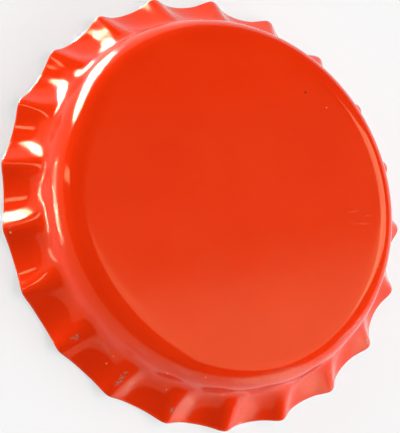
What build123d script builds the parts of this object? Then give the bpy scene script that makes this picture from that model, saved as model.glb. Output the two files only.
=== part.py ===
from build123d import *
from build123d.topology import SkipClean
from math import cos, exp, hypot, pi, radians, sin, sqrt, tan
import os

# Crown bottle cap: a fluted shell stamped from sheet steel, with a moulded sealing liner inside it.
# Millimetres, +Z up. The cap stands on its rim at z = 0 with its flat panel on top, centred on the Z axis.

# Shell: overall sizes
tooth_count = 21
cap_height = 6.0
sheet = 0.235
neck_bore_diameter = 26.75  # inside the plain band that takes the bottle's lip
neck_band = 0.22  # height of that band
corner_radius = 1.35  # outside, where the panel turns down
corner_angle = 55  # degrees that this corner turns through
side_radius = 3.4  # outside, of the gentler curve from the corner to the upright band

# Flutes: the skirt waves between crests and valleys, and both flare out from the neck to the rim
crest_flare = 2.44  # how far the crest tips stand out from the neck
valley_flare = 2.04  # the same for the outside of a valley, drawn on down to the table
crest_lift = 0.82  # the crest tips end this far above the table
crest_bend = 0.2  # how gently a crest leaves the upright neck: 0 is a kink
valley_bend = 2.0  # the same for a valley
crest_share = 0.325  # of the pitch, across a crest at half its height by the rim
neck_crest_share = 0.625  # the same at the neck, so that the valleys close to arches there
arch_height = 0.65  # over which they do
spans_per_tooth = 8
nudge_share = 0.001  # of a tooth or of the skirt's height, to find a slope
section_shares = (0, 0.05, 0.12, 0.24, 0.42, 0.68, 1)  # of a crest's drop, where the loft has sections
overrun = 0.5  # skirt lofted past the rim, where it is trimmed

# Liner: a thin disc moulded against the panel, with a raised sealing ring round its edge and a rib inside that
liner_web = 0.35
seal_height = 0.95
seal_width = 2.4
seal_chamfer = 0.3
rib_gap = 0.7
rib_width = 0.8
rib_height = 0.65
rib_chamfer = 0.2

# Sizes that follow
neck_inner = neck_bore_diameter / 2
neck_outer = neck_inner + sheet
corner_turn = radians(corner_angle)
panel_radius = neck_outer - side_radius * (1 - sin(corner_turn)) - corner_radius * sin(corner_turn)
panel_underside = cap_height - sheet
corner_z = cap_height - corner_radius
shoulder_base = corner_z + corner_radius * cos(corner_turn) - side_radius * cos(corner_turn)
inner_corner_radius = corner_radius - sheet
inner_side_radius = side_radius - sheet
corner_end = (panel_radius + corner_radius * sin(corner_turn), corner_z + corner_radius * cos(corner_turn))
inner_corner_end = (
    panel_radius + inner_corner_radius * sin(corner_turn),
    corner_z + inner_corner_radius * cos(corner_turn),
)
neck_z = shoulder_base - neck_band
crest_rim = neck_outer + crest_flare
crest_drop = neck_z - crest_lift
skirt_depth = neck_z + overrun
section_depths = [share * crest_drop for share in section_shares] + [neck_z, skirt_depth]
seal_z = panel_underside - seal_height
web_z = panel_underside - liner_web
rib_z = panel_underside - rib_height
seal_inner = panel_radius - seal_width
rib_outer = seal_inner - rib_gap
rib_inner = rib_outer - rib_width


def flare(depth, reach, drop, bend):
    """Radius gained at a depth below the neck: upright at the neck, reach at the drop."""
    steepness = ((reach + bend) ** 2 - bend**2) / drop**2
    return sqrt(steepness * depth**2 + bend**2) - bend


def skirt_radius(depth, angle):
    """Outside of the skirt: valleys that open from arches below the neck, between crests."""
    crest = flare(depth, crest_flare, crest_drop, crest_bend)
    valley = flare(depth, valley_flare, neck_z, valley_bend)
    width_share = crest_share + (neck_crest_share - crest_share) * exp(-depth / arch_height)
    narrowing = tan(pi / 2 * (1 - width_share)) ** 2
    rise = (1 - cos(tooth_count * angle)) / 2
    return neck_outer + valley + (crest - valley) * rise / (rise + narrowing * (1 - rise))


def skirt_point(depth, angle, inset):
    """A point of the skirt at a depth below the neck, set in from its outside square to the sheet."""
    radius = skirt_radius(depth, angle)
    turn = 2 * pi / tooth_count * nudge_share
    drop = neck_z * nudge_share
    along = (skirt_radius(depth, angle + turn) - skirt_radius(depth, angle - turn)) / (2 * turn)
    lean = (skirt_radius(depth + drop, angle) - skirt_radius(depth - drop, angle)) / (2 * drop)
    outward = radius / hypot(radius, along)
    sideways = along / hypot(radius, along)
    step = inset * hypot(1, lean * outward)
    r, s = radius - step * outward, step * sideways
    return Vector(r * cos(angle) - s * sin(angle), r * sin(angle) + s * cos(angle))


def tooth_edge(depth, inset):
    """One tooth of the skirt's section, from valley to valley."""
    pitch = 2 * pi / tooth_count
    shares = [i / spans_per_tooth for i in range(spans_per_tooth + 1)]
    points = [skirt_point(depth, pitch * share, inset) for share in shares]
    ends = []
    for share in (0, 1):
        ahead = skirt_point(depth, pitch * (share + nudge_share), inset)
        behind = skirt_point(depth, pitch * (share - nudge_share), inset)
        ends.append((ahead - behind) * (1 / (2 * nudge_share)))
    return Edge.make_spline(points, tangents=ends, parameters=shares, scale=False)


# One tooth of the skirt, lofted down past the rim and trimmed by a cone square to the flare
with BuildPart() as tooth:
    for depth in section_depths:
        with BuildSketch(Plane.XY.offset(neck_z - depth)):
            with BuildLine():
                outer = tooth_edge(depth, 0)
                inner = tooth_edge(depth, sheet)
                add(outer)
                add(inner)
                Line(outer @ 0, inner @ 0)
                Line(outer @ 1, inner @ 1)
            make_face()
    loft()
    foot = skirt_point(neck_z, 0, sheet).X
    rim_slope = crest_lift / (crest_rim - foot)
    trim_outer = crest_rim + skirt_depth
    with BuildSketch(Plane.XZ):
        with BuildLine():
            Polyline(
                (neck_inner, rim_slope * (neck_inner - foot)),
                (trim_outer, rim_slope * (trim_outer - foot)),
                (trim_outer, rim_slope * (neck_inner - foot)),
                close=True,
            )
        make_face()
    revolve(axis=Axis.Z, mode=Mode.SUBTRACT)

# Shell: panel, shoulder and neck band turned in one, with the teeth of the skirt all round below them
with BuildPart() as crown_shell:
    with BuildSketch(Plane.XZ):
        with BuildLine():
            Line((0, cap_height), (panel_radius, cap_height))
            RadiusArc((panel_radius, cap_height), corner_end, corner_radius)
            RadiusArc(corner_end, (neck_outer, shoulder_base), side_radius)
            Line((neck_outer, shoulder_base), (neck_outer, neck_z))
            Line((neck_outer, neck_z), (neck_inner, neck_z))
            Line((neck_inner, neck_z), (neck_inner, shoulder_base))
            RadiusArc((neck_inner, shoulder_base), inner_corner_end, -inner_side_radius)
            RadiusArc(inner_corner_end, (panel_radius, panel_underside), -inner_corner_radius)
            Line((panel_radius, panel_underside), (0, panel_underside))
            Line((0, panel_underside), (0, cap_height))
        make_face()
    revolve(axis=Axis.Z)
    with SkipClean(), PolarLocations(0, tooth_count):
        add(tooth.part, clean=False)
crown_shell.part.label = "crown_shell"

# Liner: its flat back lies on the panel's underside
with BuildPart() as sealing_liner:
    with BuildSketch(Plane.XZ):
        with BuildLine():
            Polyline(
                (0, panel_underside),
                (panel_radius, panel_underside),
                (panel_radius, seal_z),
                (seal_inner, seal_z),
                (seal_inner, web_z),
                (rib_outer, web_z),
                (rib_outer, rib_z),
                (rib_inner, rib_z),
                (rib_inner, web_z),
                (0, web_z),
                close=True,
            )
        make_face()
        chamfer(vertices().group_by(Axis.Y)[0], seal_chamfer)
        chamfer(vertices().filter_by_position(Axis.Y, rib_z, rib_z), rib_chamfer)
    revolve(axis=Axis.Z)
sealing_liner.part.label = "sealing_liner"

os.makedirs("parts", exist_ok=True)
export_step(crown_shell.part, "parts/crown_shell.step")
export_step(sealing_liner.part, "parts/sealing_liner.step")
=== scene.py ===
import math

import bpy
import numpy as np
from mathutils import Matrix, Vector


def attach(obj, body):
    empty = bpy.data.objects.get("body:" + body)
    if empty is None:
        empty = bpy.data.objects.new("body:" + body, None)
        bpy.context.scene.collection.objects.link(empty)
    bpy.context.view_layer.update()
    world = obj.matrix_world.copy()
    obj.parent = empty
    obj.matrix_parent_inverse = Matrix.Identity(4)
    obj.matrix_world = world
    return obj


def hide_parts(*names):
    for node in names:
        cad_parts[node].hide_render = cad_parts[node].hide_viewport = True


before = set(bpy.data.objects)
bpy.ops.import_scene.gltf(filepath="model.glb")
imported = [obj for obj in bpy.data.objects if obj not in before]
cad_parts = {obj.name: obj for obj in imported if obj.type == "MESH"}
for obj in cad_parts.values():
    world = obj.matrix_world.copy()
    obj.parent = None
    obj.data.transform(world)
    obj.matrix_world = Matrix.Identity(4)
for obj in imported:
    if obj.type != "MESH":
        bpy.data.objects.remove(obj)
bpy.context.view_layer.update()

MM = 0.001

# Sizes of the cap, in millimetres
TEETH = 21
HEIGHT = 6.0
SHEET = 0.235
NECK_BORE_RADIUS = 13.375
NECK = NECK_BORE_RADIUS + SHEET
BAND = 0.22
CORNER = 1.35
SIDE = 3.4
CORNER_TURN = math.radians(55)
CREST_FLARE = 2.44
VALLEY_FLARE = 2.04
CREST_LIFT = 0.82
CREST_BEND = 0.2
VALLEY_BEND = 2.0
CREST_SHARE = 0.325
NECK_CREST_SHARE = 0.625
ARCH_HEIGHT = 0.65
CREST_RIM = NECK + CREST_FLARE
LINER_WEB = 0.35
SEAL_HEIGHT, SEAL_WIDTH, SEAL_ROUND = 0.95, 2.4, 0.3
RIB_HEIGHT, RIB_WIDTH, RIB_ROUND = 0.65, 0.8, 0.2
RIB_GAP = 0.7
PANEL = NECK - CORNER * math.sin(CORNER_TURN) - SIDE * (1 - math.sin(CORNER_TURN))
SHOULDER_Z = HEIGHT - CORNER * (1 - math.cos(CORNER_TURN)) - SIDE * math.cos(CORNER_TURN)
NECK_Z = SHOULDER_Z - BAND

# How moulding and pressing soften those shapes, in millimetres
MOULD_ROUND = 0.1
PRESSED_SOFTNESS = 0.32  # of the shoulder's changes of curve
SOFT_REACH = 1.0  # how far along the sheet that softness reaches
RIM_ROUND = 0.05  # how far the middle of the cut edge stands below its corners
RIM_INSET = RIM_ROUND * 0.75  # how far those corners stop short of the cut

# How fine the meshes are
COLUMNS_PER_TOOTH = 32
PANEL_SHARES, UNDERSIDE_SHARES = (0.1, 0.25, 0.45, 0.65, 0.8), (0.98, 0.8, 0.5, 0.2)
SHOULDER_POINTS, PROFILE_STEP, SHOULDER_SPACING = 400, 0.01, 0.11
SKIRT_ROWS, RIM_ROWS, INNER_SKIRT_ROWS, INNER_SHOULDER_ROWS = 27, 9, 20, 19
NECK_EASE_ROWS, NECK_EASE_ROUNDS = 8, 16
SLOPE_STEP = 1e-5
RIM_SEARCH_OVERRUN, RIM_SEARCH_ROUNDS = 1, 50
LINER_COLUMNS, LINER_ROUND_ROWS = 168, 7
DISC_CORNERS = 96

# Wear. Each crest that is rubbed: its tooth, and where the bare metal starts and ends below the neck
RUBBED = ((10, 1.85, 2.15), (12, 1.0, 1.7), (13, 0.6, 2.0), (14, 1.3, 2.1), (17, 1.0, 1.4), (18, 1.6, 2.3))
RUBBED_WIDTH = 0.28
# Each dark or pale speck: its place and its radius
DARK_SPECKS = (((7.08, 7.25, 6.0), 0.1), ((12.1, -9.74, 0.5), 0.14), ((7.68, -12.8, 1.81), 0.11))
PALE_SPECKS = (
    ((8.6, 6.04, 6.0), 0.07),
    ((10.74, -5.89, 5.95), 0.07),
    ((-4.24, -12.53, 5.04), 0.08),
    ((-6.62, -11.84, 4.01), 0.08),
    ((-6.03, -12.73, 2.31), 0.07),
    ((-10.02, -10.37, 1.59), 0.08),
    ((-9.73, -10.02, 2.28), 0.06),
    ((-15.58, -0.38, 1.08), 0.11),
)
SCUFF_PLACE, SCUFF_RADIUS = (9.8, -2.2, 6.0), 1.1
SCUFF_TURN, SCUFF_SQUEEZE = math.radians(-35), 0.12

# Colours of the lacquer and of its wear
LACQUER = (0.84, 0.029, 0.0015), (0.88, 0.034, 0.0025)
LACQUER_SHEEN = (1, 0.92, 0.42)
SCUFFED, PALE, DARK = (0.95, 0.45, 0.35), (0.90, 0.33, 0.17), (0.10, 0.02, 0.012)
BARE_METAL = (0.40, 0.34, 0.24)
NOISE_MIDDLE = 0.3, 0.7  # most of a noise lies between these

# Camera: its axes, place in millimetres, and focal length and picture height in pixels
CAMERA_RIGHT, CAMERA_UP = (0.8825, -0.1611, 0.4418), (0.0703, 0.9741, 0.2148)
CAMERA_PLACE = (-134.534, -46.015, 252.22)
FOCAL_PIXELS, PICTURE_PIXELS = 4000, 433

# Floor and light, in metres
FLOOR_RADIUS = 0.3
UNDER_CAP_RADIUS, UNDER_CAP_HEIGHT = 15.3 * MM, -0.01 * MM
GROUND_SHARE = 0.6  # of the floor's look that is plain white
SKY_STRENGTH = 0.09
LAMP_DISTANCE = 0.7
POWER_PER_AREA = 4  # of a lamp, for each unit of brightness
PANEL_MIRRORS = (0.4654, 0.158, 0.871)  # the way that the camera sees mirrored in the panel


def shoulder(turn, inset):
    """Radius and height of the shoulder where the sheet has turned down by an angle."""
    if turn < CORNER_TURN:
        r, z, size = PANEL, HEIGHT - CORNER, CORNER
    else:
        r, z, size = NECK - SIDE, SHOULDER_Z, SIDE
    return r + (size - inset) * math.sin(turn), z + (size - inset) * math.cos(turn)


def soft_shoulder():
    """Outside from the panel's edge to the neck, with the pressed sheet's soft changes of curve."""
    start = PANEL - SOFT_REACH
    line = [(start - SOFT_REACH, HEIGHT), (start, HEIGHT)]
    line += [shoulder(turn, 0) for turn in np.linspace(0, math.pi / 2, SHOULDER_POINTS)]
    line = np.array(line + [(NECK, SHOULDER_Z - SOFT_REACH)])
    length = np.append(0, np.cumsum(np.linalg.norm(np.diff(line, axis=0), axis=1)))
    even = np.arange(0, length[-1], PROFILE_STEP)
    line = np.stack([np.interp(even, length, column) for column in line.T])
    away = np.arange(-SOFT_REACH, SOFT_REACH + PROFILE_STEP / 2, PROFILE_STEP)
    weight = np.exp(-((away / PRESSED_SOFTNESS) ** 2) / 2)
    line = np.stack([np.convolve(column, weight / weight.sum(), "valid") for column in line])
    return line.T[:: round(SHOULDER_SPACING / PROFILE_STEP)].tolist()


def flare(depth, reach, drop, bend):
    """Radius gained at a depth below the neck: upright at the neck, reach at the drop."""
    steep = ((reach + bend) ** 2 - bend**2) / drop**2
    return np.sqrt(steep * depth**2 + bend**2) - bend


def skirt_radius(depth, angle):
    """Radius of the skirt's outside: valleys that open from arches below the neck, between crests."""
    crest = flare(depth, CREST_FLARE, NECK_Z - CREST_LIFT, CREST_BEND)
    valley = flare(depth, VALLEY_FLARE, NECK_Z, VALLEY_BEND)
    width = CREST_SHARE + (NECK_CREST_SHARE - CREST_SHARE) * np.exp(-depth / ARCH_HEIGHT)
    narrowing = np.tan(math.pi / 2 * (1 - width)) ** 2
    rise = (1 - np.cos(TEETH * angle)) / 2
    return NECK + valley + (crest - valley) * rise / (rise + narrowing * (1 - rise))


def skirt(depth, angle):
    """Radius of the skirt's outside, and its slopes by angle and by depth."""
    ahead, behind = angle + SLOPE_STEP, angle - SLOPE_STEP
    below, above = depth + SLOPE_STEP, np.maximum(depth - SLOPE_STEP, 0)
    turn = (skirt_radius(depth, ahead) - skirt_radius(depth, behind)) / (2 * SLOPE_STEP)
    lean = (skirt_radius(below, angle) - skirt_radius(above, angle)) / (below - above)
    return skirt_radius(depth, angle), turn, lean


def skirt_frame(depth, angle):
    """Point, outward normal and downward tangent of the skirt's outside."""
    r, r_angle, r_depth = skirt(depth, angle)
    c, s = np.cos(angle), np.sin(angle)
    point = np.stack([r * c, r * s, NECK_Z - depth], -1)
    along = np.stack([r_angle * c - r * s, r_angle * s + r * c, np.zeros_like(r)], -1)
    down = np.stack([r_depth * c, r_depth * s, -np.ones_like(r)], -1)
    normal = np.cross(down, along)
    normal /= np.linalg.norm(normal, axis=-1, keepdims=True)
    down /= np.linalg.norm(down, axis=-1, keepdims=True)
    return point, normal, down


def rim_depth(angle):
    """Depth below the neck at which the skirt ends, on a cone square to the flare."""
    foot_r, _, foot_lean = skirt(np.array(NECK_Z), np.array(0.0))
    foot = foot_r - SHEET * math.hypot(1, float(foot_lean))
    slope = CREST_LIFT / (CREST_RIM - foot)
    low, high = np.zeros_like(angle), np.full_like(angle, NECK_Z + RIM_SEARCH_OVERRUN)
    for _ in range(RIM_SEARCH_ROUNDS):
        middle = (low + high) / 2
        above = NECK_Z - middle > slope * (skirt_radius(middle, angle) - foot)
        low, high = np.where(above, middle, low), np.where(above, high, middle)
    return low


def mesh_object(name, points, faces, slots, indices=None):
    """A smooth piece from points in millimetres, with each face's slot by index."""
    mesh = bpy.data.meshes.new(name)
    mesh.from_pydata((points * MM).tolist(), [], faces)
    for slot in slots:
        mesh.materials.append(slot)
    if indices is not None:
        mesh.polygons.foreach_set("material_index", np.asarray(indices, np.int32))
    mesh.polygons.foreach_set("use_smooth", np.ones(len(mesh.polygons), bool))
    mesh.update()
    piece = bpy.data.objects.new(name, mesh)
    bpy.context.scene.collection.objects.link(piece)
    return piece


def turned(profile, angle):
    """Rows of points from a profile of radius and height."""
    c, s = np.cos(angle), np.sin(angle)
    return [np.stack([r * c, r * s, np.full_like(angle, z)], -1) for r, z in profile]


def closed_rings(rows, first_height, last_height):
    """Points and faces of rows joined all round, with a fan to a point on the axis at each end."""
    columns = len(rows[0])
    points = np.concatenate(rows + [np.array([[0, 0, first_height], [0, 0, last_height]])])
    first_centre, last_centre = len(points) - 2, len(points) - 1
    sides = [(j, (j + 1) % columns) for j in range(columns)]
    last_row = (len(rows) - 1) * columns
    faces = [(first_centre, j, k) for j, k in sides]
    for a in range(0, last_row, columns):
        b = a + columns
        faces += [(a + j, b + j, b + k, a + k) for j, k in sides]
    faces += [(last_row + j, last_centre, last_row + k) for j, k in sides]
    return points, faces


def rubbed(depth, angle):
    """How far the lacquer is rubbed off, from 0 to 1, along the crests that show it."""
    worn = np.zeros_like(angle)
    for tooth, start, end in RUBBED:
        crest_angle = (tooth + 0.5) * 2 * math.pi / TEETH
        aside = (angle - crest_angle) * NECK / RUBBED_WIDTH
        along = (2 * depth - start - end) / (end - start)
        worn = np.maximum(worn, np.exp(-(aside**2) - along**4))
    return worn


def eased(rows, middle, reach, rounds):
    """Rows of points with the bend about the middle row eased, for reach rows either way."""
    stack = np.stack(rows)
    ease = np.clip(1 - np.abs(np.arange(1, len(rows) - 1) - middle) / reach, 0, 1)[:, None, None]
    for _ in range(rounds):
        stack[1:-1] += ease / 2 * ((stack[:-2] + stack[2:]) / 2 - stack[1:-1])
    return list(stack)


def shell_mesh(outside, inside, edge):
    """The shell from the middle of its panel down its outside, round its rim and back up its inside."""
    columns = TEETH * COLUMNS_PER_TOOTH
    angle = np.arange(columns) * 2 * math.pi / columns

    top = [(PANEL * share, HEIGHT) for share in PANEL_SHARES]
    top += soft_shoulder()
    top += [(NECK, SHOULDER_Z - BAND / 2)]
    rows = turned(top, angle)
    wear = [np.zeros(columns)] * len(rows)

    neck_row = len(rows)
    last = rim_depth(angle) - RIM_INSET
    for share in np.linspace(0, 1, SKIRT_ROWS):
        rows.append(skirt_frame(last * share, angle)[0])
        wear.append(rubbed(last * share, angle))
    edge_start = len(rows) - 1
    rows = eased(rows, neck_row, NECK_EASE_ROWS, NECK_EASE_ROUNDS)

    point, normal, down = skirt_frame(last, angle)
    for share in np.linspace(0, 1, RIM_ROWS)[1:-1]:
        bulge = 1 - abs(2 * share - 1) ** 4
        rows.append(point - normal * SHEET * share + down * RIM_ROUND * bulge)
    edge_end = len(rows)
    for share in np.linspace(1, 0, INNER_SKIRT_ROWS):
        point, normal, _ = skirt_frame(last * share, angle)
        rows.append(point - normal * SHEET)
    under = [(NECK - SHEET, SHOULDER_Z - BAND / 2)]
    under += [shoulder(turn, SHEET) for turn in np.linspace(math.pi / 2, 0, INNER_SHOULDER_ROWS)]
    under += [(PANEL * share, HEIGHT - SHEET) for share in UNDERSIDE_SHARES]
    rows += turned(under, angle)

    points, faces = closed_rings(rows, HEIGHT, HEIGHT - SHEET)
    row_of = np.repeat(np.arange(-1, len(rows)), columns)
    outside_slot, inside_slot, edge_slot = range(3)
    finish = np.select([row_of < edge_start, row_of < edge_end], [outside_slot, edge_slot], inside_slot)
    made = mesh_object("crown_shell_dressed", points, faces, [outside, inside, edge], finish)
    worn = np.zeros(len(points))
    worn[: len(wear) * columns] = np.concatenate(wear)
    made.data.attributes.new("rubbed", "FLOAT", "POINT").data.foreach_set("value", worn)
    return made


def liner_mesh(material):
    """The liner turned from its section, with its moulded corners rounded."""
    back = HEIGHT - SHEET
    web = back - LINER_WEB
    seal_inner = PANEL - SEAL_WIDTH
    rib_outer = seal_inner - RIB_GAP
    rib_inner = rib_outer - RIB_WIDTH
    corners = [
        (PANEL / 2, back, 0),
        (PANEL, back, MOULD_ROUND),
        (PANEL, back - SEAL_HEIGHT, SEAL_ROUND),
        (seal_inner, back - SEAL_HEIGHT, SEAL_ROUND),
        (seal_inner, web, MOULD_ROUND),
        (rib_outer, web, MOULD_ROUND),
        (rib_outer, back - RIB_HEIGHT, RIB_ROUND),
        (rib_inner, back - RIB_HEIGHT, RIB_ROUND),
        (rib_inner, web, MOULD_ROUND),
        (rib_inner / 2, web, 0),
    ]
    profile = [corners[0][:2]]
    for before, corner, after in zip(corners, corners[1:], corners[2:]):
        at, size = np.array(corner[:2]), corner[2]
        start, end = (
            at + (other - at) * size / np.linalg.norm(other - at)
            for other in (np.array(before[:2]), np.array(after[:2]))
        )
        for t in np.linspace(0, 1, LINER_ROUND_ROWS):
            profile.append(tuple((1 - t) ** 2 * start + 2 * t * (1 - t) * at + t**2 * end))
    profile.append(corners[-1][:2])
    rows = turned(profile, np.arange(LINER_COLUMNS) * 2 * math.pi / LINER_COLUMNS)
    points, faces = closed_rings(rows, back, web)
    return mesh_object("sealing_liner_dressed", points, faces, [material])


def principled(name):
    """A new material, with its nodes, links and shader."""
    material = bpy.data.materials.new(name)
    material.use_nodes = True
    nodes, links = material.node_tree.nodes, material.node_tree.links
    return material, nodes, links, nodes["Principled BSDF"]


def node(nodes, kind, **inputs):
    """A new node with some inputs set, each named with _ for a space."""
    made = nodes.new(kind)
    for name, value in inputs.items():
        made.inputs[name.replace("_", " ")].default_value = value
    return made


def noise(nodes, links, scale, detail):
    """Noise in the piece's own coordinates, with about scale swells to the metre."""
    place = nodes.new("ShaderNodeTexCoord")
    made = node(nodes, "ShaderNodeTexNoise", Scale=scale, Detail=detail)
    links.new(place.outputs["Object"], made.inputs["Vector"])
    return made.outputs["Fac"]


def ramp(nodes, links, source, low, high):
    """A colour that goes from low to high over the middle of a noise."""
    made = nodes.new("ShaderNodeValToRGB")
    for stop, at, colour in zip(made.color_ramp.elements, NOISE_MIDDLE, (low, high)):
        stop.position = at
        stop.color = (*colour, 1)
    links.new(source, made.inputs["Fac"])
    return made.outputs["Color"]


def span(nodes, links, source, low, high, between=NOISE_MIDDLE):
    """A value that goes from low to high while the source goes between two others."""
    start, end = between
    made = node(nodes, "ShaderNodeMapRange", From_Min=start, From_Max=end, To_Min=low, To_Max=high)
    links.new(source, made.inputs["Value"])
    return made.outputs["Result"]


def bump(nodes, links, shader, height, distance):
    made = node(nodes, "ShaderNodeBump", Strength=1, Distance=distance)
    links.new(height, made.inputs["Height"])
    links.new(made.outputs["Normal"], shader.inputs["Normal"])


def maths(nodes, links, operation, first, second):
    made = nodes.new("ShaderNodeMath")
    made.operation = operation
    for socket, value in zip(made.inputs, (first, second)):
        if isinstance(value, (int, float)):
            socket.default_value = value
        else:
            links.new(value, socket)
    return made.outputs[0]


def blend(nodes, links, share, first, second):
    """A colour between two, by a share."""
    made = nodes.new("ShaderNodeMix")
    made.data_type = "RGBA"
    links.new(share, made.inputs["Factor"])
    for socket, value in zip((made.inputs[6], made.inputs[7]), (first, second)):
        if isinstance(value, tuple):
            socket.default_value = (*value, 1)
        else:
            links.new(value, socket)
    return made.outputs[2]


def speck(nodes, links, place, radius):
    """1 within half a radius of a place, falling to 0 at the radius."""
    here = nodes.new("ShaderNodeTexCoord")
    away = nodes.new("ShaderNodeVectorMath")
    away.operation = "DISTANCE"
    links.new(here.outputs["Object"], away.inputs[0])
    away.inputs[1].default_value = Vector(place) * MM
    return span(nodes, links, away.outputs["Value"], 1, 0, between=(radius * 0.5 * MM, radius * MM))


def specks(nodes, links, listed):
    shown = 0.0
    for place, radius in listed:
        shown = maths(nodes, links, "MAXIMUM", speck(nodes, links, place, radius), shown)
    return shown


def scuff(nodes, links):
    """Faint fine scratches over one patch of the panel."""
    here = nodes.new("ShaderNodeTexCoord")
    lie = node(nodes, "ShaderNodeMapping", Rotation=(0, 0, SCUFF_TURN), Scale=(SCUFF_SQUEEZE, 1, 1))
    links.new(here.outputs["Object"], lie.inputs["Vector"])
    lines = node(nodes, "ShaderNodeTexNoise", Scale=4200, Detail=1)
    links.new(lie.outputs["Vector"], lines.inputs["Vector"])
    fine = span(nodes, links, lines.outputs["Fac"], low=0, high=0.12, between=(0.6, 0.72))
    return maths(nodes, links, "MULTIPLY", fine, speck(nodes, links, SCUFF_PLACE, SCUFF_RADIUS))


def red_lacquer():
    """Glossy lacquer, patchily rubbed down to bare metal along some crests."""
    material, nodes, links, shader = principled("red_lacquer")
    paint = ramp(nodes, links, noise(nodes, links, scale=160, detail=3), *LACQUER)
    worn = nodes.new("ShaderNodeAttribute")
    worn.attribute_name = "rubbed"
    patchy = maths(nodes, links, "MULTIPLY", worn.outputs["Fac"], 0.45)
    patchy = maths(nodes, links, "ADD", patchy, noise(nodes, links, scale=5200, detail=3))
    bare = span(nodes, links, patchy, low=0, high=0.8, between=(0.86, 1.02))
    paint = blend(nodes, links, scuff(nodes, links), paint, SCUFFED)
    paint = blend(nodes, links, specks(nodes, links, PALE_SPECKS), paint, PALE)
    paint = blend(nodes, links, specks(nodes, links, DARK_SPECKS), paint, DARK)
    paint = blend(nodes, links, bare, paint, BARE_METAL)
    links.new(paint, shader.inputs["Base Color"])
    gloss = span(nodes, links, noise(nodes, links, scale=420, detail=3), low=0.06, high=0.11)
    rough = maths(nodes, links, "MAXIMUM", gloss, maths(nodes, links, "MULTIPLY", bare, 0.4))
    links.new(rough, shader.inputs["Roughness"])
    links.new(maths(nodes, links, "MULTIPLY", bare, 0.5), shader.inputs["Metallic"])
    shader.inputs["IOR"].default_value = 1.38
    shader.inputs["Specular Tint"].default_value = (*LACQUER_SHEEN, 1)
    bump(nodes, links, shader, noise(nodes, links, scale=1500, detail=2), distance=2e-6)
    return material


def tinplate():
    material, nodes, links, shader = principled("tinplate")
    mottle = noise(nodes, links, scale=260, detail=4)
    metal = ramp(nodes, links, mottle, low=(0.50, 0.485, 0.46), high=(0.62, 0.605, 0.575))
    links.new(metal, shader.inputs["Base Color"])
    shader.inputs["Metallic"].default_value = 1
    rough = span(nodes, links, noise(nodes, links, scale=900, detail=3), low=0.24, high=0.4)
    links.new(rough, shader.inputs["Roughness"])
    bump(nodes, links, shader, noise(nodes, links, scale=2600, detail=2), distance=3e-6)
    return material


def cut_edge():
    material, nodes, links, shader = principled("cut_edge")
    mottle = noise(nodes, links, scale=900, detail=4)
    metal = ramp(nodes, links, mottle, low=(0.16, 0.145, 0.115), high=(0.27, 0.25, 0.21))
    links.new(metal, shader.inputs["Base Color"])
    shader.inputs["Metallic"].default_value = 0.7
    rough = span(nodes, links, noise(nodes, links, scale=1800, detail=3), low=0.4, high=0.6)
    links.new(rough, shader.inputs["Roughness"])
    bump(nodes, links, shader, noise(nodes, links, scale=5200, detail=2), distance=6e-6)
    return material


def liner_compound():
    material, nodes, links, shader = principled("liner_compound")
    mottle = noise(nodes, links, scale=330, detail=3)
    compound = ramp(nodes, links, mottle, low=(0.66, 0.65, 0.60), high=(0.74, 0.73, 0.69))
    links.new(compound, shader.inputs["Base Color"])
    rough = span(nodes, links, noise(nodes, links, scale=800, detail=3), low=0.38, high=0.52)
    links.new(rough, shader.inputs["Roughness"])
    shader.inputs["Specular IOR Level"].default_value = 0.45
    bump(nodes, links, shader, noise(nodes, links, scale=1800, detail=3), distance=6e-6)
    return material


shell = shell_mesh(red_lacquer(), tinplate(), cut_edge())
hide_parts("crown_shell")
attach(shell, "root")
liner = liner_mesh(liner_compound())
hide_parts("sealing_liner")
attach(liner, "root")


def disc(name, radius, height):
    mesh = bpy.data.meshes.new(name)
    angles = np.arange(DISC_CORNERS) * 2 * math.pi / DISC_CORNERS
    corners = [(radius * math.cos(a), radius * math.sin(a), height) for a in angles]
    mesh.from_pydata(corners, [], [range(DISC_CORNERS)])
    made = bpy.data.objects.new(name, mesh)
    bpy.context.scene.collection.objects.link(made)
    return made


def pale_floor():
    """Matt floor, seen as a plain pale ground that still takes the shadow."""
    material, nodes, links, shader = principled("pale_floor")
    shader.inputs["Base Color"].default_value = (0.9, 0.9, 0.9, 1)
    shader.inputs["Roughness"].default_value = 0.9
    shader.inputs["Specular IOR Level"].default_value = 0.1
    ground = node(nodes, "ShaderNodeEmission", Color=(1, 1, 1, 1), Strength=1)
    ray = nodes.new("ShaderNodeLightPath")
    seen = ray.outputs["Is Camera Ray"]
    for other in ("Is Glossy Ray", "Is Transmission Ray"):
        seen = maths(nodes, links, "MAXIMUM", seen, ray.outputs[other])
    share = maths(nodes, links, "MULTIPLY", seen, GROUND_SHARE)
    mix = nodes.new("ShaderNodeMixShader")
    for socket, source in zip(mix.inputs, (share, shader.outputs[0], ground.outputs[0])):
        links.new(source, socket)
    links.new(mix.outputs[0], nodes["Material Output"].inputs["Surface"])
    return material


# The floor, and just beneath it a disc under the cap that keeps the low lamps' light out of the cap
floor = disc("floor", FLOOR_RADIUS, 0)
under_cap = disc("floor_under_cap", UNDER_CAP_RADIUS, UNDER_CAP_HEIGHT)
floor_finish = pale_floor()
for ground in (floor, under_cap):
    ground.data.materials.append(floor_finish)

# Camera
camera = bpy.data.objects.new("camera", bpy.data.cameras.new("camera"))
bpy.context.scene.collection.objects.link(camera)
right = Vector(CAMERA_RIGHT).normalized()
up = Vector(CAMERA_UP)
up = (up - right * up.dot(right)).normalized()
axes = Matrix((right, up, right.cross(up))).transposed().to_4x4()
camera.matrix_world = Matrix.Translation(Vector(CAMERA_PLACE) * MM) @ axes
camera.data.lens = FOCAL_PIXELS / PICTURE_PIXELS * camera.data.sensor_width
camera.data.clip_start = 0.01
bpy.context.scene.camera = camera

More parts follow.
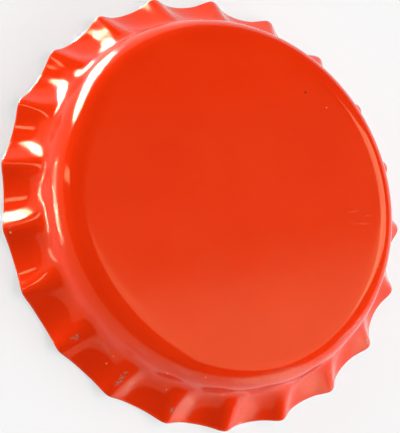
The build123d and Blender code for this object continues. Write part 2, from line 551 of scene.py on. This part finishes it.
# Light
world = bpy.data.worlds.new("studio")
bpy.context.scene.world = world
world.use_nodes = True
sky = world.node_tree.nodes["Background"]
sky.inputs["Color"].default_value = (1, 1, 1, 1)
sky.inputs["Strength"].default_value = SKY_STRENGTH


def toward(azimuth, elevation):
    a, e = math.radians(azimuth), math.radians(elevation)
    return Vector((math.cos(e) * math.cos(a), math.cos(e) * math.sin(a), math.sin(e)))


def softbox(name, azimuth, elevation, wide, high, bright, top=(0, 0, 1), past_floor=False, shows_as="both"):
    """A lamp that fills wide by high degrees as the cap sees it, its upper edge turned to top.

    With past_floor, only the cap stops its light. It shows as gloss, as glow (soft light), or as both.
    """
    lamp = bpy.data.lights.new(name, "AREA")
    lamp.shape = "RECTANGLE"
    lamp.size = 2 * LAMP_DISTANCE * math.tan(math.radians(wide / 2))
    lamp.size_y = 2 * LAMP_DISTANCE * math.tan(math.radians(high / 2))
    lamp.energy = POWER_PER_AREA * lamp.size * lamp.size_y * bright
    lamp.cycles.use_multiple_importance_sampling = shows_as == "both"
    out = toward(azimuth, elevation)
    side = Vector(top).cross(out).normalized()
    turn = Matrix((side, out.cross(side), out)).transposed().to_4x4()
    made = bpy.data.objects.new(name, lamp)
    made.matrix_world = Matrix.Translation(out * LAMP_DISTANCE) @ turn
    made.visible_camera = False
    made.visible_diffuse = shows_as != "gloss"
    made.visible_glossy = shows_as != "glow"
    bpy.context.scene.collection.objects.link(made)
    if past_floor:
        made.light_linking.blocker_collection = cap_alone


# The photograph's brightest lamps stood lower than the cap's rim, and five lamps here do too. The floor is left
# out of what stops their light: only the cap and the disc under it do.
cap_alone = bpy.data.collections.new("cap_alone")
for piece in (shell, liner, under_cap):
    cap_alone.objects.link(piece)
# Each lamp: its name, azimuth, elevation, width and height in degrees, and brightness
key_slant = toward(131, 1) - toward(88, -41)
softbox("key_lamp", 109, -19, 14, 55, 38, top=key_slant, past_floor=True, shows_as="gloss")
softbox("glow_lamp", 138, -8, 100, 30, 3.5, past_floor=True, shows_as="glow")
softbox("back_lamp", 100, 32, 50, 28, 1.0, shows_as="glow")
softbox("side_lamp", 163, -29, 33, 12, 15, past_floor=True, shows_as="gloss")
softbox("strip_lamp", 153, 17, 6, 25, 6)
softbox("fill_lamp", -33.6, 57.3, 36, 50, 1.7, top=PANEL_MIRRORS)
softbox("edge_lamp", -33.6, 57.3, 36, 57, 0.3, top=PANEL_MIRRORS)
softbox("soft_lamp", -33.6, 57.3, 50, 50, 0.45, top=PANEL_MIRRORS, shows_as="glow")
softbox("near_lamp", -72, 36, 40, 22, 1.2, shows_as="glow")
softbox("front_lamp", -85, -21, 90, 22, 1.3, past_floor=True, shows_as="gloss")
softbox("corner_lamp", -46, -3, 50, 24, 1.6, past_floor=True, shows_as="gloss")
softbox("right_lamp", -40, 30, 40, 22, 2.1, shows_as="glow")
softbox("far_lamp", 9, 40, 17, 24, 3.8)

bpy.context.scene.view_settings.view_transform = "Standard"
